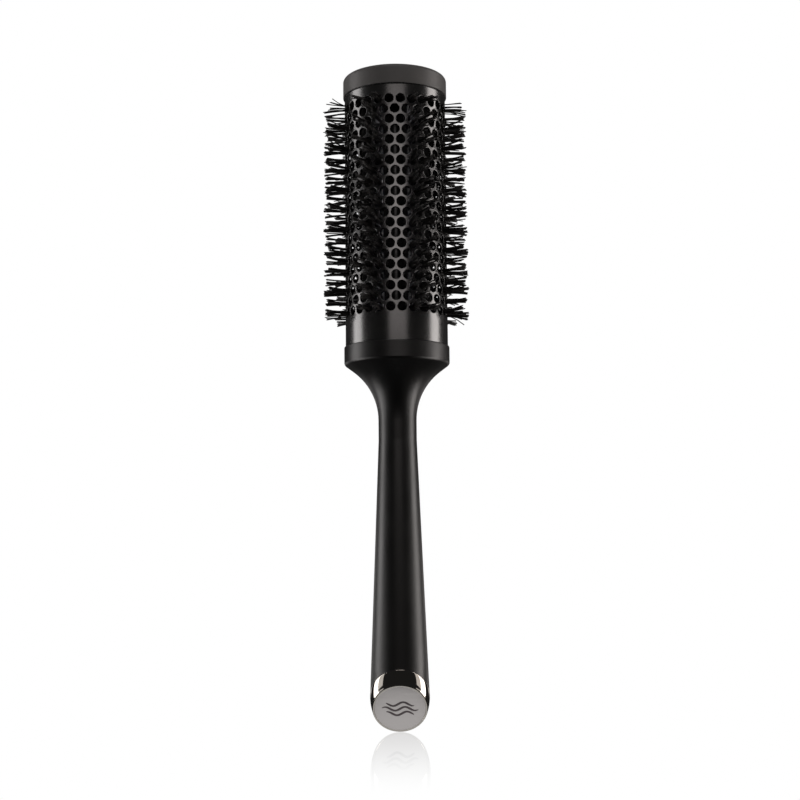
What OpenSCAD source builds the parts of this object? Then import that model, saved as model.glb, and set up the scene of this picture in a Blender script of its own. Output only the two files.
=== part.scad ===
// Round barrel brush: a perforated metal barrel with seven bands of bristle tufts, an end cap,
// a collar, and a slim handle that flares under the collar and ends in a slanted disc.
// Millimetres. +Z runs up the brush axis towards the end cap. The origin is on the axis at the
// collar's lower edge, and the slanted disc faces -Y. Bands and holes are counted from -Y.

/* [Barrel] */
// Outside diameter of the perforated barrel
barrel_d = 45; // [44:0.5:47]
// Wall thickness of the barrel
barrel_wall = 1; // [0.8:0.1:1.2]
// Diameter of the vent holes
hole_d = 4; // [3.6:0.1:4.2]
// Number of rows of holes, always odd
hole_rows = 21; // [15:2:21]
// Height from one row of holes to the next
row_pitch = 4.59; // [4.5:0.01:4.8]
// Plain band from the collar to the lowest row
plain_low = 14.4; // [13:0.1:18]
// Plain band from the highest row to the end cap
plain_top = 6.9; // [6.5:0.1:9]

/* [Bristles] */
// How far the tufts stand out of the barrel
tuft_reach = 9; // [7:0.5:11]
// Diameter that a tuft spreads to at its tip
tuft_tip_d = 4.6; // [4:0.1:4.8]

/* [Cap and collar] */
// Height of the end cap
cap_h = 8.7; // [8.6:0.1:11]
// Radius of the end cap's rounded rim
cap_round = 1.8; // [1:0.1:2.4]
// How far the cap and collar stand proud of the barrel
overhang = 0.62; // [0.6:0.02:1]
// Height of the collar
collar_h = 7.2; // [6.4:0.1:9]

/* [Handle] */
// Diameter of the neck
neck_d = 16.7; // [16:0.1:17.4]
// Radius of the hollow curve from the flare to the neck
flare_round = 27; // [24:0.5:28]
// Angle of the flare's side from the axis
flare_angle = 53; // [50:1:54]
// Distance from the collar to where the neck starts to widen
neck_len = 34; // [32:1:40]
// Length of the handle, from the collar to the bezel, along the axis
handle_len = 143.4; // [135:0.1:155]
// Diameter of the grip at its far end
grip_end_d = 25.5; // [25:0.1:27]
// Angle of the slanted end, from square across the axis
slant = 42.3; // [36:0.1:44]

/* [Bezel and badge] */
// Height of the bezel along the axis
bezel_h = 6; // [5:0.1:7]
// Diameter of the bezel at its rim
bezel_rim_d = 23.9; // [23.6:0.1:24.6]
// Diameter of the badge, seen along the axis
badge_d = 22.2; // [21:0.1:22.6]

/* [Hidden] */

$fn = 72;
fit = 0.05;                 // radial gap between pieces that are pressed or bonded together
eps = 0.5;                  // overrun of a cutting tool

// barrel
bands = 7;
columns = 4 * bands;        // holes in one row
column_step = 360 / columns;
band_step = 360 / bands;
barrel_r = barrel_d / 2;
barrel_bore_r = barrel_r - barrel_wall;
barrel_foot = 1.5;          // the barrel stands on the collar's lip
seam = 0.3;                 // shadow gap under the end cap
row_low = collar_h + plain_low;
row_top = row_low + (hole_rows - 1) * row_pitch;
cap_z = row_top + plain_top;
barrel_top = cap_z - seam;

// spigot of the handle core, plug and bristle core
spigot_r = barrel_bore_r - fit;
spigot_wall = 2.2;
spigot_top = row_low - 5.6;
spigot_web = 3;
plug_foot = row_top + 3.6;
plug_web = 1.4;
flange_h = 2.2;
boss_r = 6;
hub_r = 5;

// tie rod and its nut
rod_r = 2.5;
rod_low = -42;
rod_bore_r = rod_r + fit;
washer_r = 5.5;
washer_h = 1;
nut_flats = 8;
nut_h = 2.9;
rod_proud = 0.6;
rod_chamfer = 0.5;
plug_top = barrel_top + flange_h;
rod_top = plug_top + washer_h + nut_h + rod_proud;

// strip brush: rail, folded filaments and wire, measured outwards from the axis
rail_floor = barrel_r - 10.5;
rail_wall = 0.4;
rail_depth = 3.2;
rail_half = 2.4;
strip_half = rail_half - rail_wall - fit;
strip_floor = rail_floor + rail_wall + fit;
strip_crown = rail_floor + rail_depth - 0.2;
strip_end = 2.2;            // the strips stop this far past the first and last rows
strip_low = row_low - strip_end;
strip_len = row_top - row_low + 2 * strip_end;
wire_r = 0.5;
wire_at = strip_floor + 0.8;
arm_half = 0.9;
head_half = 3.5;
head_wall = 1;
lip = 0.28;                 // the channel's lips overlap the rail by this much each side
lip_h = 0.6;

// tufts
tuft_root = rail_floor + 2.3;
tuft_root_r = 0.65;
tuft_side = 0.9;            // the side tufts leave the strip this far from its middle
tuft_tip_r = barrel_r + tuft_reach;

// cap and collar
cap_r = barrel_r + overhang;
cap_roof = 1.4;
cap_wall = 1.7;
collar_r = cap_r + 0.03;
collar_round = 0.4;

// handle
skin = 1.5;
neck_r = neck_d / 2;
grip_end_r = grip_end_d / 2;
flare_top_r = collar_r - 0.02;
flare_lip = 0.53;           // height of the flare's edge before it is rounded
flare_lip_round = 1.55;     // rounds the edge over its whole height
core_wall = 2.2;
cavity_top = -52;
socket_r = 8;
socket_top = -(handle_len - 18);

// bezel and badge
bezel_top_r = grip_end_r + 0.05;
bezel_rim_r = bezel_rim_d / 2;
bezel_bulge = 24;           // radius of the bezel's slightly rounded side
badge_r = badge_d / 2;
badge_h = 1.2;
badge_sunk = 0.2;           // the badge sits just below the bezel's rim
pad_r = badge_r - 0.6;
pad_h = 0.3;
face_z = -(handle_len + bezel_h);
bezel_socket_wall = 1.6;
far = 60;                   // half size of the tools that cut the slanted end

black_rubber = "#2b2928";
black_metal = "#1d1c1c";
black_nylon = "#121111";
black_plastic = "#242324";
black_gloss = "#0c0c0b";
satin_metal = "#9a9592";
bright_steel = "#b9bbbd";
zinc = "#8f9498";

// a block that fills everything below the slanted plane that crosses the axis at z
module below_slant(z) {
    translate([0, 0, z]) rotate([-slant, 0, 0])
        translate([-far, -far, -2 * far]) cube([2 * far, 2 * far, 2 * far]);
}

// shears children so that level planes become slanted ones, and the front stands higher
module slanted() {
    multmatrix([[1, 0, 0, 0], [0, 1, 0, 0], [0, -tan(slant), 1, 0], [0, 0, 0, 1]]) children();
}

// turns children to band k, with local +X pointing out of the barrel
module at_band(k) {
    rotate([0, 0, -90 + (k - 0.5) * band_step]) children();
}

// rounded-rim disc in section, for rotate_extrude
module rim_section(r, h, round_r) {
    square([r, h - round_r]);
    square([r - round_r, h]);
    translate([r - round_r, h - round_r]) circle(r = round_r);
}

// half section of the handle: a straight flare, a hollow curve down to the neck, then a long taper.
// inset moves the whole outline towards the axis.
module handle_section(inset, end_z) {
    throat_r = neck_r - inset;
    curve_r = flare_round + inset;
    curve_out_r = throat_r + curve_r * (1 - cos(flare_angle));
    slope_r = flare_top_r - inset / cos(flare_angle);
    curve_out_z = -flare_lip - (slope_r - curve_out_r) / tan(flare_angle);
    curve_in_z = curve_out_z - curve_r * sin(flare_angle);
    intersection() {
        difference() {
            polygon([
                [0, 0], [slope_r + flare_lip * tan(flare_angle), 0], [curve_out_r, curve_out_z],
                [throat_r, curve_in_z], [throat_r, -neck_len], [grip_end_r - inset, -handle_len],
                [grip_end_r - inset, end_z], [0, end_z]
            ]);
            translate([throat_r + curve_r, curve_in_z]) circle(r = curve_r, $fn = 240);
        }
        translate([0, end_z]) square([flare_top_r - inset, -end_z]);
    }
}

// the sliver that rounds off the flare's edge, from the collar down to the slope
module lip_corner() {
    run = flare_lip_round * tan(flare_angle / 2);
    difference() {
        polygon([
            [flare_top_r, run - flare_lip], [flare_top_r + eps, run - flare_lip],
            [flare_top_r + eps, -2 * flare_lip - eps],
            [flare_top_r - run * sin(flare_angle), -flare_lip - run * cos(flare_angle)]
        ]);
        translate([flare_top_r - flare_lip_round, run - flare_lip]) circle(r = flare_lip_round);
    }
}

module end_cap() {
    shell_r = cap_r - cap_wall;
    color(black_rubber) translate([0, 0, cap_z]) difference() {
        rotate_extrude($fn = 144) rim_section(cap_r, cap_h, cap_round);
        translate([0, 0, -eps]) cylinder(h = flange_h - seam + fit + eps, r = barrel_r - fit);
        cylinder(h = cap_h - cap_roof, r = shell_r);
    }
}

module cap_plug() {
    neck = barrel_r - 0.3;
    color(black_plastic) difference() {
        union() {
            translate([0, 0, plug_foot]) cylinder(h = barrel_top - plug_foot, r = spigot_r);
            translate([0, 0, barrel_top]) cylinder(h = seam, r = neck);
            translate([0, 0, cap_z]) cylinder(h = flange_h - seam, r = barrel_r - 2 * fit);
        }
        difference() {
            translate([0, 0, plug_foot - eps])
                cylinder(h = plug_top - plug_web - plug_foot + eps, r = spigot_r - spigot_wall);
            cylinder(h = plug_top, r = boss_r);
        }
        cylinder(h = plug_top + eps, r = rod_bore_r);
    }
}

module tie_rod() {
    color(zinc) rotate_extrude() polygon([
        [0, rod_low], [rod_r - rod_chamfer, rod_low], [rod_r, rod_low + rod_chamfer],
        [rod_r, rod_top - rod_chamfer], [rod_r - rod_chamfer, rod_top], [0, rod_top]
    ]);
}

module tie_washer() {
    color(zinc) translate([0, 0, plug_top]) difference() {
        cylinder(h = washer_h, r = washer_r);
        translate([0, 0, -eps]) cylinder(h = washer_h + 2 * eps, r = rod_bore_r);
    }
}

module tie_nut() {
    corner_r = nut_flats / 2 / cos(30);
    chamfer = 0.4;
    color(zinc) translate([0, 0, plug_top + washer_h]) difference() {
        intersection() {
            cylinder(h = nut_h, r = corner_r, $fn = 6);
            rotate_extrude() polygon([
                [0, 0], [corner_r, 0], [corner_r, nut_h - chamfer], [corner_r - 2 * chamfer, nut_h],
                [0, nut_h]
            ]);
        }
        translate([0, 0, -eps]) cylinder(h = nut_h + 2 * eps, r = rod_bore_r);
    }
}

// rows are staggered: every other one, from the lowest, is turned by half a column
module barrel() {
    color(black_metal) difference() {
        translate([0, 0, barrel_foot]) cylinder(h = barrel_top - barrel_foot, r = barrel_r, $fn = 168);
        translate([0, 0, barrel_foot - eps])
            cylinder(h = barrel_top - barrel_foot + 2 * eps, r = barrel_bore_r, $fn = 168);
        for (row = [0:hole_rows - 1], column = [0:columns - 1]) {
            turn = (column + (row % 2 == 0 ? 0.5 : 0)) * column_step;
            rotate([0, 0, -90 + turn]) translate([barrel_bore_r - eps, 0, row_low + row * row_pitch])
                rotate([0, 90, 0]) cylinder(h = barrel_wall + 2 * eps, d = hole_d, $fn = 24);
        }
    }
}

module bristle_core() {
    head_floor = rail_floor - head_wall;
    head_top = rail_floor + rail_depth + fit + lip_h;
    core_len = plug_foot - spigot_top;
    color(black_plastic) translate([0, 0, spigot_top]) linear_extrude(core_len) difference() {
        union() {
            circle(r = hub_r);
            for (k = [1:bands]) at_band(k) {
                translate([0, -arm_half]) square([head_floor + fit, 2 * arm_half]);
                translate([head_floor, -head_half]) square([head_top - head_floor, 2 * head_half]);
            }
        }
        circle(r = rod_bore_r + fit);
        for (k = [1:bands]) at_band(k) {
            translate([rail_floor - fit, -rail_half - fit])
                square([rail_depth + 2 * fit, 2 * (rail_half + fit)]);
            translate([rail_floor, -rail_half + lip]) square([rail_depth + 5, 2 * (rail_half - lip)]);
        }
    }
}

module bristle_rail(k) {
    inner = rail_half - rail_wall;
    color(bright_steel) at_band(k) translate([rail_floor, -rail_half, strip_low])
        linear_extrude(strip_len) difference() {
            square([rail_depth, 2 * rail_half]);
            translate([rail_wall, rail_wall]) square([rail_depth, 2 * inner]);
        }
}

module anchor_wire(k) {
    color(bright_steel) at_band(k) translate([wire_at, 0, strip_low])
        cylinder(h = strip_len, r = wire_r, $fn = 24);
}

// a tuft from the strip out through its hole: side is -1, 0 or 1
module tuft(side, z) {
    hole_at = barrel_r - barrel_wall / 2;
    side_y = side * tuft_side;
    hole_x = hole_at * cos(side * column_step / 2);
    hole_y = hole_at * sin(side * column_step / 2);
    lean = atan2(hole_y - side_y, hole_x - tuft_root);
    reach = (tuft_tip_r - tuft_root) / cos(lean);
    translate([tuft_root, side_y, z]) rotate([0, 0, lean]) rotate([0, 90, 0])
        cylinder(h = reach, r1 = tuft_root_r, r2 = tuft_tip_d / 2, $fn = 24);
}

module bristles(k) {
    color(black_nylon) at_band(k) difference() {
        union() {
            translate([strip_floor, -strip_half, strip_low])
                cube([strip_crown - strip_floor, 2 * strip_half, strip_len]);
            for (row = [0:hole_rows - 1]) {
                z = row_low + row * row_pitch;
                if (row % 2 == 0) {
                    tuft(-1, z);
                    tuft(1, z);
                } else {
                    tuft(0, z);
                }
            }
        }
        translate([wire_at, 0, strip_low - eps])
            cylinder(h = strip_len + 2 * eps, r = wire_r + fit, $fn = 24);
    }
}

module collar() {
    color(black_rubber) rotate_extrude($fn = 144) difference() {
        rim_section(collar_r, collar_h, collar_round);
        translate([0, -eps]) square([spigot_r + fit, collar_h]);
        translate([0, barrel_foot]) square([barrel_r + fit, collar_h]);
    }
}

module handle_core() {
    wall_end_r = grip_end_r - skin - core_wall;
    color(black_plastic) difference() {
        union() {
            rotate_extrude($fn = 144) handle_section(skin + fit, -handle_len - far / 2);
            cylinder(h = spigot_top, r = spigot_r);
        }
        below_slant(-handle_len);
        difference() {
            translate([0, 0, spigot_web]) cylinder(h = spigot_top, r = spigot_r - spigot_wall);
            cylinder(h = spigot_top + eps, r = boss_r);
        }
        translate([0, 0, rod_low - fit]) cylinder(h = spigot_top - rod_low + eps, r = rod_bore_r);
        translate([0, 0, socket_top - far]) cylinder(h = far, r = socket_r);
        rotate_extrude() polygon([
            [0, cavity_top], [neck_r - skin - core_wall, cavity_top],
            [min(wall_end_r, socket_r), socket_top], [0, socket_top - eps]
        ]);
    }
}

module handle_grip() {
    color(black_rubber) difference() {
        rotate_extrude($fn = 144) difference() {
            handle_section(0, -handle_len - far / 2);
            handle_section(skin, -handle_len - far);
            lip_corner();
        }
        below_slant(-handle_len);
    }
}

module end_bezel() {
    chord = norm([bezel_top_r - bezel_rim_r, bezel_h]);
    lean = atan2(bezel_top_r - bezel_rim_r, bezel_h);
    bulge_in = sqrt(pow(bezel_bulge, 2) - pow(chord / 2, 2));
    mid = [(bezel_top_r + bezel_rim_r) / 2, -bezel_h / 2];
    recess = badge_sunk + badge_h + pad_h + fit;
    color(black_gloss) {
        translate([0, 0, -handle_len]) slanted() rotate_extrude($fn = 96) difference() {
            intersection() {
                translate([0, -bezel_h]) square([bezel_top_r, bezel_h]);
                translate(mid - bulge_in * [cos(lean), -sin(lean)]) circle(r = bezel_bulge, $fn = 360);
            }
            translate([0, -bezel_h - eps]) square([badge_r + fit, recess + eps]);
        }
        difference() {
            translate([0, 0, -handle_len - socket_r])
                cylinder(h = socket_r + handle_len + socket_top, r = socket_r - fit);
            translate([0, 0, -handle_len - socket_r - eps])
                cylinder(h = handle_len, r = socket_r - fit - bezel_socket_wall);
            below_slant(-handle_len - 1);
        }
    }
}

module badge_pad() {
    color(zinc) intersection() {
        translate([0, 0, face_z - far / 2]) cylinder(h = far, r = pad_r);
        difference() {
            below_slant(face_z + badge_sunk + badge_h + pad_h);
            below_slant(face_z + badge_sunk + badge_h);
        }
    }
}

module end_badge() {
    color(satin_metal) intersection() {
        translate([0, 0, face_z - far / 2]) cylinder(h = far, r = badge_r);
        difference() {
            below_slant(face_z + badge_sunk + badge_h);
            below_slant(face_z + badge_sunk);
        }
    }
}

end_cap();
cap_plug();
tie_nut();
tie_washer();
tie_rod();
barrel();
bristle_core();
collar();
handle_core();
handle_grip();
end_bezel();
badge_pad();
end_badge();
for (k = [1:bands]) {
    bristles(k);
    bristle_rail(k);
    anchor_wire(k);
}
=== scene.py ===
import math
import random

import bpy
from mathutils import Matrix, Vector


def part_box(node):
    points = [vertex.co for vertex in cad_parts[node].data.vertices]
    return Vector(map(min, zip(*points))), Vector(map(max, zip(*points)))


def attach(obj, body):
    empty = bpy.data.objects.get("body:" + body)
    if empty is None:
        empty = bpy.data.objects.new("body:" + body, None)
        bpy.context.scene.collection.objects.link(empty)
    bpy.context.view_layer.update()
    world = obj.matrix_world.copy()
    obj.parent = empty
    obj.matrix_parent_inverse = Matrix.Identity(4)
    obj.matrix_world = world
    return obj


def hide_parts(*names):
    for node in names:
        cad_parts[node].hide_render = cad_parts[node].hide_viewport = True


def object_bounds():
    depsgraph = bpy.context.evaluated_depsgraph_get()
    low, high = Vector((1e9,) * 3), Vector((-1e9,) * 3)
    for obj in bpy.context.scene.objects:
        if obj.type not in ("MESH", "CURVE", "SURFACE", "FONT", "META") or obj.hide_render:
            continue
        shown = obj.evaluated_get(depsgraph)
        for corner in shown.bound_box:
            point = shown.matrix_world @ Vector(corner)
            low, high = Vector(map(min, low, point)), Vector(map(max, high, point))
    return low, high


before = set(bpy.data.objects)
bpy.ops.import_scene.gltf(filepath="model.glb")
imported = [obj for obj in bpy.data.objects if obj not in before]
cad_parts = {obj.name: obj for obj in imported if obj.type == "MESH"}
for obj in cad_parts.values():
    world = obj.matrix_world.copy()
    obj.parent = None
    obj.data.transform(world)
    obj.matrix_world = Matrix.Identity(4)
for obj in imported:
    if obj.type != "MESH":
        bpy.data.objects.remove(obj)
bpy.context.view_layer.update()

MM = 0.001
ROOT = "root"
rng = random.Random(45)

# ---------------------------------------------------------------- sizes, from the frame

LOW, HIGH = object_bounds()
LENGTH = HIGH.z - LOW.z

BANDS = 7
ROWS = 21
COLUMNS = 4 * BANDS
COLUMN_STEP = 2 * math.pi / COLUMNS
BAND_STEP = 2 * math.pi / BANDS

barrel_low, barrel_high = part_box("barrel")
BARREL_R = barrel_high.x
BARREL_WALL = 1.0 * MM
HOLE_R = 2.0 * MM

TUFT_TIP_R = 2.3 * MM                       # radius of a CAD tuft at its tip
tufts_low, tufts_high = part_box("bristles_4")
ROW_LOW = tufts_low.z + TUFT_TIP_R
ROW_PITCH = (tufts_high.z - tufts_low.z - 2 * TUFT_TIP_R) / (ROWS - 1)
TUFT_REACH = 31.6 * MM                      # how far the filaments' tips stand from the axis

bezel_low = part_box("end_bezel")[0]
badge_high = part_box("end_badge")[1]
SLANT = math.radians(42.3)                  # between the disc and a level plane
SLOPE = math.tan(SLANT)


# ---------------------------------------------------------------- mesh helpers

def add_piece(name, points, faces, material, body=ROOT):
    """A smooth-shaded mesh piece that rides on the brush."""
    mesh = bpy.data.meshes.new(name)
    mesh.from_pydata(points, [], faces)
    mesh.validate()
    mesh.polygons.foreach_set("use_smooth", [True] * len(mesh.polygons))
    mesh.materials.append(material)
    piece = bpy.data.objects.new(name, mesh)
    bpy.context.scene.collection.objects.link(piece)
    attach(piece, body)
    return piece


def on_axis(radius, angle, z):
    """A point at radius from the brush axis. Angles are counted from -Y towards +X."""
    return (radius * math.sin(angle), -radius * math.cos(angle), z)


def ring_faces(start_a, start_b, count):
    """Quads between two closed rings of points."""
    return [
        (start_a + i, start_a + (i + 1) % count, start_b + (i + 1) % count, start_b + i)
        for i in range(count)
    ]


def arc(centre_r, centre_z, radius, start, end, steps):
    """Points of a round corner in a lathe's section, as (radius, z). Angles are in degrees."""
    return [
        (
            centre_r + radius * math.cos(math.radians(start + (end - start) * i / steps)),
            centre_z + radius * math.sin(math.radians(start + (end - start) * i / steps)),
        )
        for i in range(steps + 1)
    ]


# ---------------------------------------------------------------- materials

def new_material(name, colour, metallic=0.0, roughness=0.5, ior=1.5):
    """A plain material to build on, with its node tree and its shader."""
    material = bpy.data.materials.new(name)
    material.use_nodes = True
    shader = material.node_tree.nodes["Principled BSDF"]
    shader.inputs["Base Color"].default_value = (*colour, 1)
    shader.inputs["Metallic"].default_value = metallic
    shader.inputs["Roughness"].default_value = roughness
    shader.inputs["IOR"].default_value = ior
    return material, material.node_tree, shader


def add_noise(tree, scale, detail=3.0, stretch=(1, 1, 1)):
    """Noise over the piece's own coordinates, in metres."""
    place = tree.nodes.new("ShaderNodeTexCoord")
    mapping = tree.nodes.new("ShaderNodeMapping")
    mapping.inputs["Scale"].default_value = stretch
    noise = tree.nodes.new("ShaderNodeTexNoise")
    noise.inputs["Scale"].default_value = scale
    noise.inputs["Detail"].default_value = detail
    tree.links.new(place.outputs["Object"], mapping.inputs["Vector"])
    tree.links.new(mapping.outputs["Vector"], noise.inputs["Vector"])
    return noise.outputs["Fac"]


NOISE_LOW = 0.3                             # most of the noise lies between these
NOISE_HIGH = 0.7


def spread(tree, value, low, high):
    """The noise's middle range, spread from low to high."""
    node = tree.nodes.new("ShaderNodeMapRange")
    node.inputs["From Min"].default_value = NOISE_LOW
    node.inputs["From Max"].default_value = NOISE_HIGH
    node.inputs["To Min"].default_value = low
    node.inputs["To Max"].default_value = high
    tree.links.new(value, node.inputs["Value"])
    return node.outputs["Result"]


def tint(tree, shader, value, dark, light):
    """Base colour that goes from dark to light with value."""
    mix = tree.nodes.new("ShaderNodeMix")
    mix.data_type = "RGBA"
    mix.inputs["A"].default_value = (*dark, 1)
    mix.inputs["B"].default_value = (*light, 1)
    tree.links.new(value, mix.inputs["Factor"])
    tree.links.new(mix.outputs["Result"], shader.inputs["Base Color"])


def bump(tree, shader, value, height, strength):
    """Relief of the given height, as shading only."""
    node = tree.nodes.new("ShaderNodeBump")
    node.inputs["Strength"].default_value = strength
    node.inputs["Distance"].default_value = height
    tree.links.new(value, node.inputs["Height"])
    tree.links.new(node.outputs["Normal"], shader.inputs["Normal"])


def soft_touch(name, colour, roughness, ior):
    """Matt rubbery coating: very fine grain and faint cloudiness from handling."""
    material, tree, shader = new_material(name, colour, roughness=roughness, ior=ior)
    grain = add_noise(tree, 9000, 2)
    cloud = add_noise(tree, 60, 3)
    gloss = spread(tree, cloud, roughness - 0.03, roughness + 0.04)
    tree.links.new(gloss, shader.inputs["Roughness"])
    tint(tree, shader, cloud, [c * 0.85 for c in colour], [c * 1.15 for c in colour])
    bump(tree, shader, grain, 0.012 * MM, 0.5)
    return material


def coated_metal():
    """Black ceramic coating on metal: satin gloss, with a trace of orange peel."""
    colour = (0.007, 0.0066, 0.0064)
    material, tree, shader = new_material("coated_metal", colour, roughness=0.23, ior=2.0)
    peel = add_noise(tree, 900, 2)
    cloud = add_noise(tree, 80, 3)
    tree.links.new(spread(tree, cloud, 0.2, 0.26), shader.inputs["Roughness"])
    tint(tree, shader, cloud, [c * 0.9 for c in colour], [c * 1.1 for c in colour])
    bump(tree, shader, peel, 0.004 * MM, 0.4)
    return material


def nylon():
    """Black nylon filament, each one a little lighter or darker than the next."""
    material, tree, shader = new_material("nylon_filament", (0.01, 0.0095, 0.009), roughness=0.34)
    tone = tree.nodes.new("ShaderNodeAttribute")
    tone.attribute_name = "tone"
    tint(tree, shader, tone.outputs["Fac"], (0.005, 0.0046, 0.0044), (0.028, 0.025, 0.024))
    streak = add_noise(tree, 2500, 2)
    tree.links.new(spread(tree, streak, 0.28, 0.42), shader.inputs["Roughness"])
    return material


def moulded_plastic():
    """Black moulding with a fine grain, for the pieces inside."""
    colour = (0.03, 0.03, 0.03)
    material, tree, shader = new_material("moulded_plastic", colour, roughness=0.25)
    grain = add_noise(tree, 1500, 3)
    tree.links.new(spread(tree, grain, 0.2, 0.32), shader.inputs["Roughness"])
    tint(tree, shader, grain, [c * 0.8 for c in colour], [c * 1.3 for c in colour])
    return material


def plated_steel():
    """Grey steel, streaked along the brush axis from drawing."""
    colour = (0.5, 0.51, 0.53)
    material, tree, shader = new_material("plated_steel", colour, metallic=1.0, roughness=0.35)
    drawn = add_noise(tree, 1200, 2, (1, 1, 0.05))
    tree.links.new(spread(tree, drawn, 0.28, 0.42), shader.inputs["Roughness"])
    tint(tree, shader, drawn, [c * 0.85 for c in colour], [c * 1.1 for c in colour])
    return material


def dark_chrome():
    """Smoky chrome with a trace of haze."""
    colour = (0.42, 0.395, 0.36)
    material, tree, shader = new_material("dark_chrome", colour, metallic=1.0, roughness=0.06)
    haze = add_noise(tree, 300, 3)
    tree.links.new(spread(tree, haze, 0.045, 0.085), shader.inputs["Roughness"])
    tint(tree, shader, haze, [c * 0.94 for c in colour], [c * 1.04 for c in colour])
    return material


def satin_metal():
    """Fine straight graining across the badge."""
    colour = (0.5, 0.475, 0.465)
    material, tree, shader = new_material("satin_metal", colour, metallic=0.9, roughness=0.42)
    lines = add_noise(tree, 2200, 3, (0.04, 1, 1))
    tree.links.new(spread(tree, lines, 0.34, 0.5), shader.inputs["Roughness"])
    tint(tree, shader, lines, [c * 0.93 for c in colour], [c * 1.06 for c in colour])
    bump(tree, shader, lines, 0.006 * MM, 0.4)
    return material


def foam():
    """Pale adhesive pad with fine cells."""
    colour = (0.35, 0.35, 0.34)
    material, tree, shader = new_material("foam", colour, roughness=0.9)
    cells = add_noise(tree, 4000, 2)
    tint(tree, shader, cells, [c * 0.8 for c in colour], colour)
    return material


def enamel():
    """Dark paint of the badge's raised strands."""
    colour = (0.045, 0.028, 0.03)
    material, tree, shader = new_material("enamel", colour, roughness=0.45)
    grain = add_noise(tree, 3000, 2)
    tint(tree, shader, grain, [c * 0.8 for c in colour], [c * 1.2 for c in colour])
    return material


GRIP_RUBBER = soft_touch("grip_rubber", (0.0028, 0.0025, 0.0024), 0.38, 1.5)
CAP_RUBBER = soft_touch("cap_rubber", (0.1, 0.097, 0.095), 0.42, 1.4)
COATED_METAL = coated_metal()
NYLON = nylon()
MOULDED = moulded_plastic()
STEEL = plated_steel()
DARK_CHROME = dark_chrome()
SATIN = satin_metal()
FOAM = foam()
ENAMEL = enamel()


def dress(node, material):
    """Gives a CAD piece its finish."""
    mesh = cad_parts[node].data
    mesh.materials.clear()
    mesh.materials.append(material)


for plain, finish in {
    "end_cap": CAP_RUBBER, "cap_plug": MOULDED, "tie_nut": STEEL, "tie_washer": STEEL,
    "tie_rod": STEEL, "barrel": COATED_METAL, "bristle_core": MOULDED, "collar": GRIP_RUBBER,
    "handle_core": MOULDED, "handle_grip": GRIP_RUBBER, "end_bezel": DARK_CHROME,
    "badge_pad": FOAM, "end_badge": SATIN,
}.items():
    dress(plain, finish)
for band in range(1, BANDS + 1):
    dress(f"bristles_{band}", NYLON)
    dress(f"bristle_rail_{band}", STEEL)
    dress(f"anchor_wire_{band}", STEEL)


# ---------------------------------------------------------------- barrel

EDGE = 0.2 * MM                             # width of a hole's rounded edge
SPLITS = 4                                  # lattice steps in half a column
RIM = 6 * SPLITS                            # points round a hole
LAND = 0.06 * MM                            # ring that holds the metal flat round a hole's edge
EDGE_STEPS = 2                              # steps of a hole's rounded edge
SAME_PLACE = 0.01 * MM                      # points of two cells that are closer are one point
END_EDGE = 0.15 * MM                        # broken edge of the tube's ends
END_MARGIN = 0.3 * MM                       # from the outermost cells to the plain bands


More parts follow.
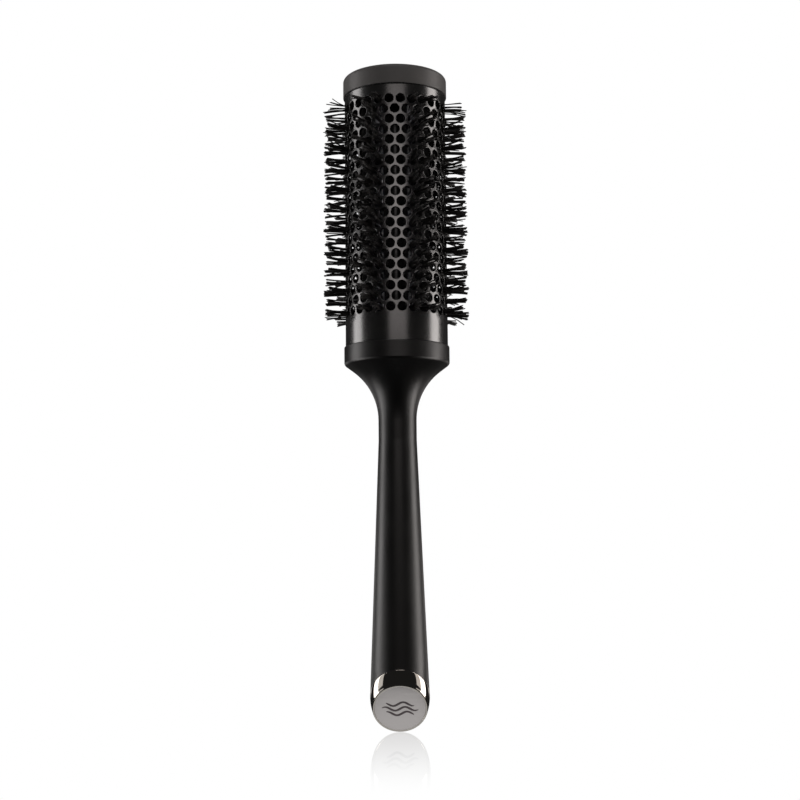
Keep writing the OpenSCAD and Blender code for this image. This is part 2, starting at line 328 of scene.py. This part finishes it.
def barrel_mesh():
    """Perforated tube. Each hole has a six-sided cell of the lattice and a rounded edge."""
    points, faces, shared = [], [], {}
    inner_r = BARREL_R - BARREL_WALL
    steps_round = COLUMNS * 2 * SPLITS
    half_pitch = BARREL_R * COLUMN_STEP / 2
    side_half = (ROW_PITCH - half_pitch ** 2 / ROW_PITCH) / 2   # half of a cell's upright side
    tip = ROW_PITCH - side_half                                 # from a cell's middle to its tip
    slope = (tip - side_half) / SPLITS

    def shared_point(radius, across, z):
        across %= steps_round
        key = (radius, across, round(z / SAME_PLACE))
        if key not in shared:
            shared[key] = len(points)
            points.append(on_axis(radius, across * COLUMN_STEP / (2 * SPLITS), z))
        return shared[key]

    def cell_side(across, z):
        """The border of the cell round a hole, anticlockwise from its lower right corner."""
        right = [(SPLITS, side_half * (2 * k / SPLITS - 1)) for k in range(SPLITS)]
        up = [(SPLITS - k, side_half + k * slope) for k in range(SPLITS)]
        down = [(-k, tip - k * slope) for k in range(SPLITS)]
        half = right + up + down
        return [(across + a, z + b) for a, b in half] + [(across - a, z - b) for a, b in half]

    def hole_ring(across, z, ring_r, radius):
        """A round ring of points about a hole's middle, laid on the tube of that radius."""
        angle = across * COLUMN_STEP / (2 * SPLITS)
        start = len(points)
        for a, b in cell_side(0, 0):
            turn = math.atan2(b, a * half_pitch / SPLITS)
            side = ring_r * math.cos(turn)
            out = math.sqrt(radius * radius - side * side)
            points.append((
                out * math.sin(angle) + side * math.cos(angle),
                -out * math.cos(angle) + side * math.sin(angle),
                z + ring_r * math.sin(turn),
            ))
        return list(range(start, start + RIM))

    def join(ring_a, ring_b):
        """Quads between two rings of the same number of points."""
        for i in range(len(ring_a)):
            j = (i + 1) % len(ring_a)
            faces.append((ring_a[i], ring_a[j], ring_b[j], ring_b[i]))

    for row in range(ROWS):
        z = ROW_LOW + row * ROW_PITCH
        for column in range(COLUMNS):
            across = column * 2 * SPLITS + (SPLITS if row % 2 == 0 else 0)
            side = cell_side(across, z)
            rings = [[shared_point(BARREL_R, a, b) for a, b in side]]
            rings.append(hole_ring(across, z, HOLE_R + EDGE + LAND, BARREL_R))
            for step in range(EDGE_STEPS + 1):
                bend = math.pi / 2 * step / EDGE_STEPS
                ring_r = HOLE_R + EDGE * (1 - math.sin(bend))
                rings.append(hole_ring(across, z, ring_r, BARREL_R - EDGE * (1 - math.cos(bend))))
            rings.append(hole_ring(across, z, HOLE_R, inner_r))
            rings.append([shared_point(inner_r, a, b) for a, b in side])
            for ring_a, ring_b in zip(rings, rings[1:]):
                join(ring_a, ring_b)

    # plain bands: from the outermost rows' zigzag border to the tube's ends, and over them
    def zigzag(radius, z, way):
        """The border of the lowest (way -1) or highest (way 1) row's cells."""
        ring = []
        for i in range(steps_round):
            off = abs((i - SPLITS) % (2 * SPLITS))
            off = min(off, 2 * SPLITS - off)
            ring.append(shared_point(radius, i, z + way * (tip - off * slope)))
        return ring

    def level(radius, z):
        """A level ring of points."""
        return [shared_point(radius, i, z) for i in range(steps_round)]

    row_high = ROW_LOW + (ROWS - 1) * ROW_PITCH
    for z, way, end_z in ((ROW_LOW, -1, barrel_low.z), (row_high, 1, barrel_high.z)):
        rings = [
            zigzag(BARREL_R, z, way),
            level(BARREL_R, z + way * (tip + END_MARGIN)),
            level(BARREL_R, end_z - way * 2 * END_EDGE),
            level(BARREL_R, end_z - way * END_EDGE),
            level(BARREL_R - END_EDGE, end_z),
            level(inner_r + END_EDGE, end_z),
            level(inner_r, end_z - way * END_EDGE),
            level(inner_r, z + way * (tip + END_MARGIN)),
            zigzag(inner_r, z, way),
        ]
        for ring_a, ring_b in zip(rings, rings[1:]):
            if way > 0:
                join(ring_a, ring_b)
            else:
                join(ring_b, ring_a)
    return points, faces


barrel_points, barrel_faces = barrel_mesh()
barrel = add_piece("perforated_barrel", barrel_points, barrel_faces, COATED_METAL)
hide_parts("barrel")


# ---------------------------------------------------------------- bristles

FILAMENT_R = 0.22 * MM
FILAMENT_SIDES = 6
STATIONS = (0, 0.2, 0.4, 0.6, 0.8, 0.985, 1)
CUT_END = 0.6                               # girth of a filament's very end
GIRTHS = (0.85, 1.1)                        # least and most, as shares of FILAMENT_R

FILAMENTS = (19, 24)                        # fewest and most in a tuft of fullness 1
FULLEST = 1.2                               # fullness of most rows
TOP_FULLNESS = 0.5                          # fullness of the top row
FULLNESS_STEP = 0.25                        # gained from row to row, down to the fullest

ROOT_R = 14.3 * MM                          # distance of the tufts' feet from the axis
ROOT_SIDE = 0.9 * MM                        # how far a pair's feet stand from the strip's middle
ROOT_FAN = 1.4                              # a foot's width along its strip, against the hole's
ROOT_PINCH = 0.3                            # a foot's width across its strip, against the hole's
TIP_FAN = 1.7                               # how much further apart the clumps are at their tips

CLUMPS = (5, 6, 6, 7)                       # numbers of clumps to choose from
CLUMP_R = 1.3 * MM                          # the clumps' middles lie in this disc in the hole
CLUMP_LEAN = 0.9 * MM                       # and lean by up to this at their tips
CLUMP_LENGTHS = (-0.9, 0.2)                 # least and most that a clump is longer, in mm
FILAMENT_LENGTHS = (-0.6, 0.2)              # the same for a filament of its clump
ROOT_SCATTER = 0.3 * MM                     # a filament's place about its clump's middle
WALL_SCATTER = 0.35 * MM
TIP_SCATTER = 0.5 * MM

STRAY_SHARE = 0.03
STRAY_R = 2.5 * MM                          # how far a stray's tip can be from its place
STRAY_SHORT = (0, 3)                        # least and most that a stray is shorter, in mm
END_STRAY_SHARE = 0.04                      # strays of the end rows, up or down from the rest
END_STRAY_OUT = (1, 3.5)                    # least and most that they stand out, in mm
TOP_DROOP = 1.1 * MM                        # the top row's tips point slightly down


def filament(points, faces, tones, path, radius, tone):
    """A thin round rod along a bent path, cut off square with a slightly broken edge."""
    a, b, c = path
    start = len(points)
    for t in STATIONS:
        centre = a * (1 - t) ** 2 + b * (2 * t * (1 - t)) + c * t * t
        along = ((b - a) * (1 - t) + (c - b) * t).normalized()
        side = along.cross(Vector((0, 0, 1))).normalized()
        over = side.cross(along)
        girth = radius * (CUT_END if t == 1 else 1)
        for k in range(FILAMENT_SIDES):
            turn = 2 * math.pi * k / FILAMENT_SIDES
            points.append(centre + girth * (math.cos(turn) * side + math.sin(turn) * over))
            tones.append(tone)
    last = start + (len(STATIONS) - 1) * FILAMENT_SIDES
    for ring in range(start, last, FILAMENT_SIDES):
        faces.extend(ring_faces(ring, ring + FILAMENT_SIDES, FILAMENT_SIDES))
    faces.append(tuple(range(last, last + FILAMENT_SIDES)))
    faces.append(tuple(range(start + FILAMENT_SIDES - 1, start - 1, -1)))


def in_disc(radius):
    """A random point in a disc."""
    r = radius * math.sqrt(rng.random())
    turn = rng.uniform(0, 2 * math.pi)
    return Vector((r * math.cos(turn), r * math.sin(turn)))


def tuft(points, faces, tones, side, z, end_row, fullness):
    """Filaments from the strip out through one hole, in a few clumps that part outside.
    Local +X points out of the barrel. The hole is side (-1, 0 or 1) half columns off the strip's
    middle, and end_row is -1 on the lowest row, 1 on the highest and 0 between them."""
    wall_r = BARREL_R - BARREL_WALL / 2
    hole = Vector((
        wall_r * math.cos(side * COLUMN_STEP / 2), wall_r * math.sin(side * COLUMN_STEP / 2), z
    ))
    foot = Vector((ROOT_R, side * ROOT_SIDE, z))
    heading = (hole - foot).normalized()
    across = Vector((-heading.y, heading.x, 0))
    reach = (TUFT_REACH - foot.x) / heading.x
    clumps = [
        (in_disc(CLUMP_R), in_disc(CLUMP_LEAN), rng.uniform(*CLUMP_LENGTHS) * MM)
        for _ in range(rng.choice(CLUMPS))
    ]
    for _ in range(round(rng.randint(*FILAMENTS) * fullness)):
        spot, lean, longer = rng.choice(clumps)
        at_wall = spot + in_disc(WALL_SCATTER)
        at_root = Vector((at_wall.x * ROOT_PINCH, at_wall.y * ROOT_FAN)) + in_disc(ROOT_SCATTER)
        at_tip = spot * TIP_FAN + lean + in_disc(TIP_SCATTER)
        length = reach + longer + rng.uniform(*FILAMENT_LENGTHS) * MM
        if rng.random() < STRAY_SHARE:
            at_tip += in_disc(STRAY_R)
            length -= rng.uniform(*STRAY_SHORT) * MM
        if end_row > 0:
            at_tip.y -= TOP_DROOP
        if end_row and rng.random() < END_STRAY_SHARE:
            at_tip.y += end_row * rng.uniform(*END_STRAY_OUT) * MM
            length -= rng.uniform(*STRAY_SHORT) * MM
        root = foot + across * at_root.x + Vector((0, 0, at_root.y))
        through = hole + across * at_wall.x + Vector((0, 0, at_wall.y))
        tip = foot + heading * length + across * at_tip.x + Vector((0, 0, at_tip.y))
        # the bend is set so that the rod passes through the hole where it should
        share = (hole - foot).length / (tip - foot).length
        bend = (through - root * (1 - share) ** 2 - tip * share ** 2) / (2 * share * (1 - share))
        girth = FILAMENT_R * rng.uniform(*GIRTHS)
        filament(points, faces, tones, (root, bend, tip), girth, rng.random())


def bristle_band(band):
    """All the tufts of one band: a pair and a single one by turns, as the holes are staggered."""
    points, faces, tones = [], [], []
    for row in range(ROWS):
        z = ROW_LOW + row * ROW_PITCH
        end_row = -1 if row == 0 else (1 if row == ROWS - 1 else 0)
        fullness = min(FULLEST, TOP_FULLNESS + FULLNESS_STEP * (ROWS - 1 - row))
        for side in ((-1, 1) if row % 2 == 0 else (0,)):
            tuft(points, faces, tones, side, z, end_row, fullness)
    turn = Matrix.Rotation(-math.pi / 2 + (band - 0.5) * BAND_STEP, 4, "Z")
    points = [turn @ p for p in points]
    piece = add_piece(f"filaments_{band}", points, faces, NYLON)
    tone = piece.data.attributes.new("tone", "FLOAT", "POINT")
    tone.data.foreach_set("value", tones)
    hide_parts(f"bristles_{band}")


for band in range(1, BANDS + 1):
    bristle_band(band)


# ---------------------------------------------------------------- bezel and badge

BEZEL_H = 6.0 * MM
RECESS = 0.2 * MM                           # the badge sits this far below the bezel's rim
BEZEL_TOP_R = 12.8 * MM
BEZEL_RIM_R = 11.95 * MM
POCKET_DEPTH = 1.8 * MM
POCKET_GAP = 0.05 * MM                      # between the badge and the pocket's side
BADGE_R = badge_high.x
FACE_Z = bezel_low.z + BEZEL_RIM_R * SLOPE  # where the rim's plane crosses the axis


def slanted_lathe(section, z, count=144):
    """Points and faces of a lathed shape sheared so that its level planes slant.
    The section is a list of (radius, height) that starts and ends on the axis."""
    points = [(0, 0, z + section[0][1])]
    faces = []
    for radius, height in section[1:-1]:
        for i in range(count):
            x, y, _ = on_axis(radius, 2 * math.pi * i / count, 0)
            points.append((x, y, z + height - y * SLOPE))
    end = len(points)
    points.append((0, 0, z + section[-1][1]))
    for i in range(count):
        faces.append((0, 1 + (i + 1) % count, 1 + i))
        faces.append((end, end - count + i, end - count + (i + 1) % count))
    for ring in range(1, end - count, count):
        faces.extend(ring_faces(ring, ring + count, count))
    return points, faces


def bezel():
    """Bulged sides between two rounded edges, with a pocket for the badge. Gives its lowest z."""
    edge = 0.45 * MM
    rim = 0.55 * MM
    pocket_edge = 0.05 * MM
    bulge = 0.24 * MM
    side = []
    steps = 12
    for i in range(1, steps):
        t = i / steps
        radius = BEZEL_TOP_R + (BEZEL_RIM_R - BEZEL_TOP_R) * t + bulge * 4 * t * (1 - t)
        side.append((radius, BEZEL_H - edge - (BEZEL_H - edge - rim) * t))
    pocket = BADGE_R + POCKET_GAP
    section = [(0, BEZEL_H), (BEZEL_TOP_R - edge, BEZEL_H)]
    section += arc(BEZEL_TOP_R - edge, BEZEL_H - edge, edge, 80, 0, 5)
    section += side
    section += arc(BEZEL_RIM_R - rim, rim, rim, 0, -90, 6)
    section += [(pocket + pocket_edge, 0), (pocket, pocket_edge)]
    section += [(pocket, POCKET_DEPTH), (0, POCKET_DEPTH)]
    points, faces = slanted_lathe(section, FACE_Z)
    piece = add_piece("dark_chrome_bezel", points, faces, DARK_CHROME)
    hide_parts("end_bezel")
    return min(point[2] for point in points)


def on_face(x, up, lift):
    """A point of the badge's face: up runs up the slant, and lift stands out of the face."""
    z = FACE_Z + RECESS
    return (
        x, -up * math.cos(SLANT) - lift * math.sin(SLANT),
        z + up * math.sin(SLANT) - lift * math.cos(SLANT),
    )


def strand(points, faces, offset, half_length, phase):
    """One wavy lock of hair, in raised enamel that thins out at both ends."""
    steps = 40
    wave = 1.25 * MM
    wave_length = 8.5 * MM
    half_width = 0.72 * MM
    flat = 0.8                              # share of the width that is level on top
    height = 0.06 * MM
    start = len(points)
    for i in range(steps + 1):
        t = 2 * i / steps - 1
        x = t * half_length
        angle = 2 * math.pi * x / wave_length + phase
        up = offset + wave * math.sin(angle)
        slope = math.atan(wave * 2 * math.pi / wave_length * math.cos(angle))
        girth = half_width * math.sqrt(max(1 - t ** 4, 0.01))
        for across, lift in ((-1, -height), (-flat, height), (flat, height), (1, -height)):
            shift = across * girth
            points.append(on_face(x - shift * math.sin(slope), up + shift * math.cos(slope), lift))
    for i in range(steps):
        faces.extend(ring_faces(start + 4 * i, start + 4 * i + 4, 4))
    faces.append((start + 3, start + 2, start + 1, start))
    end = start + 4 * steps
    faces.append((end, end + 1, end + 2, end + 3))


STRAND_GAP = 3.2 * MM                       # between one strand's middle line and the next
STRAND_SHIFT = 0.6                          # phase of the outer strands against the middle one
SHORT_STRAND = 6.0 * MM                     # half lengths
LONG_STRAND = 7.8 * MM


def badge():
    """Satin disc with a broken edge and three wavy strands across it."""
    edge = 0.12 * MM
    thick = 1.2 * MM
    section = [
        (0, thick), (BADGE_R, thick), (BADGE_R, edge), (BADGE_R - 0.3 * edge, 0.3 * edge),
        (BADGE_R - edge, 0), (0, 0),
    ]
    points, faces = slanted_lathe(section, FACE_Z + RECESS)
    disc_faces = len(faces)
    strand(points, faces, STRAND_GAP, SHORT_STRAND, STRAND_SHIFT)
    strand(points, faces, 0, LONG_STRAND, 0)
    strand(points, faces, -STRAND_GAP, SHORT_STRAND, -STRAND_SHIFT)
    piece = add_piece("satin_badge", points, faces, SATIN)
    piece.data.materials.append(ENAMEL)
    for face in piece.data.polygons[disc_faces:]:
        face.material_index = 1
    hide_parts("end_badge")


FLOOR_Z = bezel()
badge()


# ---------------------------------------------------------------- floor, light and camera

def area_light(name, position, target, width, height, power, colour=(1, 1, 1)):
    """A rectangular soft light, itself unseen by the camera."""
    light = bpy.data.lights.new(name, "AREA")
    light.shape = "RECTANGLE"
    light.size = width
    light.size_y = height
    light.energy = power
    light.color = colour
    lamp = bpy.data.objects.new(name, light)
    lamp.location = position
    lamp.rotation_euler = (Vector(target) - Vector(position)).to_track_quat("-Z", "Y").to_euler()
    bpy.context.scene.collection.objects.link(lamp)
    lamp.visible_camera = False


def around(azimuth, distance, z):
    """A place round the brush. Azimuth is in degrees from the camera's side, towards +X."""
    return on_axis(distance, math.radians(azimuth), z)


def level_light(name, azimuth, distance, z, width, height, power, colour):
    """An area light that faces the brush axis at its own height."""
    place = around(azimuth, distance, z)
    area_light(name, place, (0, 0, z), width, height, power, colour)


MIDDLE = (LOW + HIGH) / 2
SIDE_R = 0.62                               # distances of the lights from the axis, in metres
BACK_R = 0.8
FRONT_R = 1.1
COOL = (1, 0.97, 0.96)
WARM = (1, 0.945, 0.915)
PINK = (1, 0.925, 0.905)

# tall boxes at both sides draw the soft strips down the handle
for side, azimuth, gain, tone in (("left", -97, 1.02, COOL), ("right", 94, 1.25, WARM)):
    level_light(f"softbox_{side}", azimuth, SIDE_R, -0.15, 0.3, 0.62, 2.25 * gain, tone)
    level_light(f"softbox_{side}_top", azimuth, SIDE_R, 0.35, 0.3, 0.14, 0.5 * gain, tone)
for side, azimuth, tone in (("left", -72, COOL), ("right", 71, WARM)):
    level_light(f"wing_{side}", azimuth, SIDE_R, -0.25, 0.22, 0.36, 0.26, tone)
area_light("front_fill", around(3, FRONT_R, 0.34), (0, 0, MIDDLE.z), 0.78, 0.22, 1.22, PINK)
area_light("overhead", (0, -0.45, HIGH.z + 0.75), (0, 0, HIGH.z), 0.7, 0.5, 1.9, COOL)
# light that the white floor throws back on the foot of the brush
area_light("floor_card", (0, 0.002, FLOOR_Z - 0.001), (0, 0.002, 1), 0.034, 0.034, 0.0025)
for side, azimuth, tone in (("left", -146, COOL), ("right", 146, WARM)):
    level_light(f"back_{side}", azimuth, BACK_R, -0.13, 0.26, 0.24, 0.15, tone)


MIRROR_MOST = 0.39                          # the floor's mirror share under the brush
MIRROR_WIDTH = 0.07                         # where it has faded out, in metres
MIRROR_LENGTH = 0.2


def floor_material():
    """White that mirrors the foot of the brush faintly, and less and less further out."""
    material = bpy.data.materials.new("white_floor")
    material.use_nodes = True
    nodes, links = material.node_tree.nodes, material.node_tree.links
    nodes.clear()
    place = nodes.new("ShaderNodeTexCoord")
    mapping = nodes.new("ShaderNodeMapping")
    mapping.inputs["Scale"].default_value = (1 / MIRROR_WIDTH, 1 / MIRROR_LENGTH, 0)
    fade = nodes.new("ShaderNodeTexGradient")
    fade.gradient_type = "SPHERICAL"
    mirror_share = nodes.new("ShaderNodeMapRange")
    mirror_share.interpolation_type = "SMOOTHSTEP"
    mirror_share.inputs["To Max"].default_value = MIRROR_MOST
    white = nodes.new("ShaderNodeEmission")
    white.inputs["Color"].default_value = (1, 1, 1, 1)
    gloss = nodes.new("ShaderNodeBsdfGlossy")
    gloss.inputs["Color"].default_value = (1, 1, 1, 1)
    gloss.inputs["Roughness"].default_value = 0.03
    mix = nodes.new("ShaderNodeMixShader")
    below = nodes.new("ShaderNodeBsdfTransparent")
    side = nodes.new("ShaderNodeNewGeometry")
    pick = nodes.new("ShaderNodeMixShader")
    output = nodes.new("ShaderNodeOutputMaterial")
    links.new(place.outputs["Object"], mapping.inputs["Vector"])
    links.new(mapping.outputs["Vector"], fade.inputs["Vector"])
    links.new(fade.outputs["Fac"], mirror_share.inputs["Value"])
    links.new(mirror_share.outputs["Result"], mix.inputs["Fac"])
    links.new(white.outputs["Emission"], mix.inputs[1])
    links.new(gloss.outputs["BSDF"], mix.inputs[2])
    links.new(side.outputs["Backfacing"], pick.inputs["Fac"])
    links.new(mix.outputs["Shader"], pick.inputs[1])
    links.new(below.outputs["BSDF"], pick.inputs[2])
    links.new(pick.outputs["Shader"], output.inputs["Surface"])
    return material


FILMS = 2                                   # on each side; a light that a ray passes counts as one
FILM_GAP = 0.01 * MM
FLOOR_DROP = 0.05 * MM                      # how far the floor lies under the brush
UNDER_DROP = 0.1 * MM                       # and the first of the films under it
SHEET_R = 0.45                              # radius of the floor and the films, in metres
SHEET_SIDES = 64


def clear_material():
    """Lets everything through. The films over the floor mark the rays that reach it from above,
    and those under it tell the rays that come from below."""
    material = bpy.data.materials.new("clear_film")
    material.use_nodes = True
    nodes = material.node_tree.nodes
    nodes.clear()
    clear = nodes.new("ShaderNodeBsdfTransparent")
    output = nodes.new("ShaderNodeOutputMaterial")
    material.node_tree.links.new(clear.outputs["BSDF"], output.inputs["Surface"])
    return material


def floor_sheet(name, material, z):
    """A level round sheet for the stage, out of the way of the light on the brush."""
    mesh = bpy.data.meshes.new(name)
    rim = [on_axis(SHEET_R, 2 * math.pi * i / SHEET_SIDES, 0) for i in range(SHEET_SIDES)]
    mesh.from_pydata(rim, [], [tuple(range(SHEET_SIDES))])
    mesh.materials.append(material)
    sheet = bpy.data.objects.new(name, mesh)
    sheet.location = (0, BEZEL_RIM_R, z)
    bpy.context.scene.collection.objects.link(sheet)
    sheet.visible_diffuse = False
    sheet.visible_glossy = False
    sheet.visible_shadow = False


floor_sheet("floor", floor_material(), FLOOR_Z - FLOOR_DROP)
CLEAR = clear_material()
for film in range(FILMS):
    floor_sheet(f"upper_film_{film + 1}", CLEAR, FLOOR_Z - film * FILM_GAP)
    floor_sheet(f"lower_film_{film + 1}", CLEAR, FLOOR_Z - UNDER_DROP - film * FILM_GAP)


ROOM_GREY = 0.022                           # how bright the room is as a light
MOST_DEPTH = 2.5                            # the world reads 2 after one bounce, 3 after two
MOST_LIGHTS = 2                             # that a ray by way of the floor may pass


def studio_world():
    """White where the camera sees it, straight or mirrored in the floor, and dim elsewhere.
    A ray that comes by way of the floor has passed the films over it, and MOST_LIGHTS or fewer."""
    world = bpy.data.worlds.new("studio")
    world.use_nodes = True
    bpy.context.scene.world = world
    nodes, links = world.node_tree.nodes, world.node_tree.links
    seen = nodes["Background"]
    seen.inputs["Color"].default_value = (1, 1, 1, 1)
    room = nodes.new("ShaderNodeBackground")
    room.inputs["Color"].default_value = (ROOM_GREY, ROOM_GREY, ROOM_GREY, 1)
    ray = nodes.new("ShaderNodeLightPath")
    first_bounce = nodes.new("ShaderNodeMath")
    first_bounce.operation = "LESS_THAN"
    first_bounce.inputs[1].default_value = MOST_DEPTH
    by_films = nodes.new("ShaderNodeMath")
    by_films.operation = "COMPARE"
    by_films.inputs[1].default_value = FILMS + MOST_LIGHTS / 2
    by_films.inputs[2].default_value = MOST_LIGHTS / 2 + 0.5
    mirrored = nodes.new("ShaderNodeMath")
    mirrored.operation = "MULTIPLY"
    either = nodes.new("ShaderNodeMath")
    either.operation = "ADD"
    either.use_clamp = True
    choose = nodes.new("ShaderNodeMixShader")
    links.new(ray.outputs["Ray Depth"], first_bounce.inputs[0])
    links.new(first_bounce.outputs["Value"], mirrored.inputs[0])
    links.new(ray.outputs["Transparent Depth"], by_films.inputs[0])
    links.new(by_films.outputs["Value"], mirrored.inputs[1])
    links.new(ray.outputs["Is Camera Ray"], either.inputs[0])
    links.new(mirrored.outputs["Value"], either.inputs[1])
    links.new(either.outputs["Value"], choose.inputs["Fac"])
    links.new(room.outputs["Background"], choose.inputs[1])
    links.new(seen.outputs["Background"], choose.inputs[2])
    links.new(choose.outputs["Shader"], nodes["World Output"].inputs["Surface"])


studio_world()

# a long lens about a fifth of the way up the brush, turned up to it, to match the photo
CAMERA_BACK = 2.257 * LENGTH
CAMERA_UP = 0.2212 * LENGTH
CAMERA_ASIDE = 0.004 * LENGTH
TILT = math.radians(7.0)
ROLL = math.radians(-0.52)
camera_data = bpy.data.cameras.new("camera")
camera_data.lens = 67.5
camera_data.sensor_width = 36
camera_data.clip_start = 0.01
camera = bpy.data.objects.new("camera", camera_data)
camera.matrix_world = (
    Matrix.Translation((CAMERA_ASIDE, -CAMERA_BACK, LOW.z + CAMERA_UP))
    @ Matrix.Rotation(math.pi / 2 + TILT, 4, "X")
    @ Matrix.Rotation(ROLL, 4, "Z")
)
bpy.context.scene.collection.objects.link(camera)
bpy.context.scene.camera = camera
bpy.context.scene.view_settings.view_transform = "Standard"
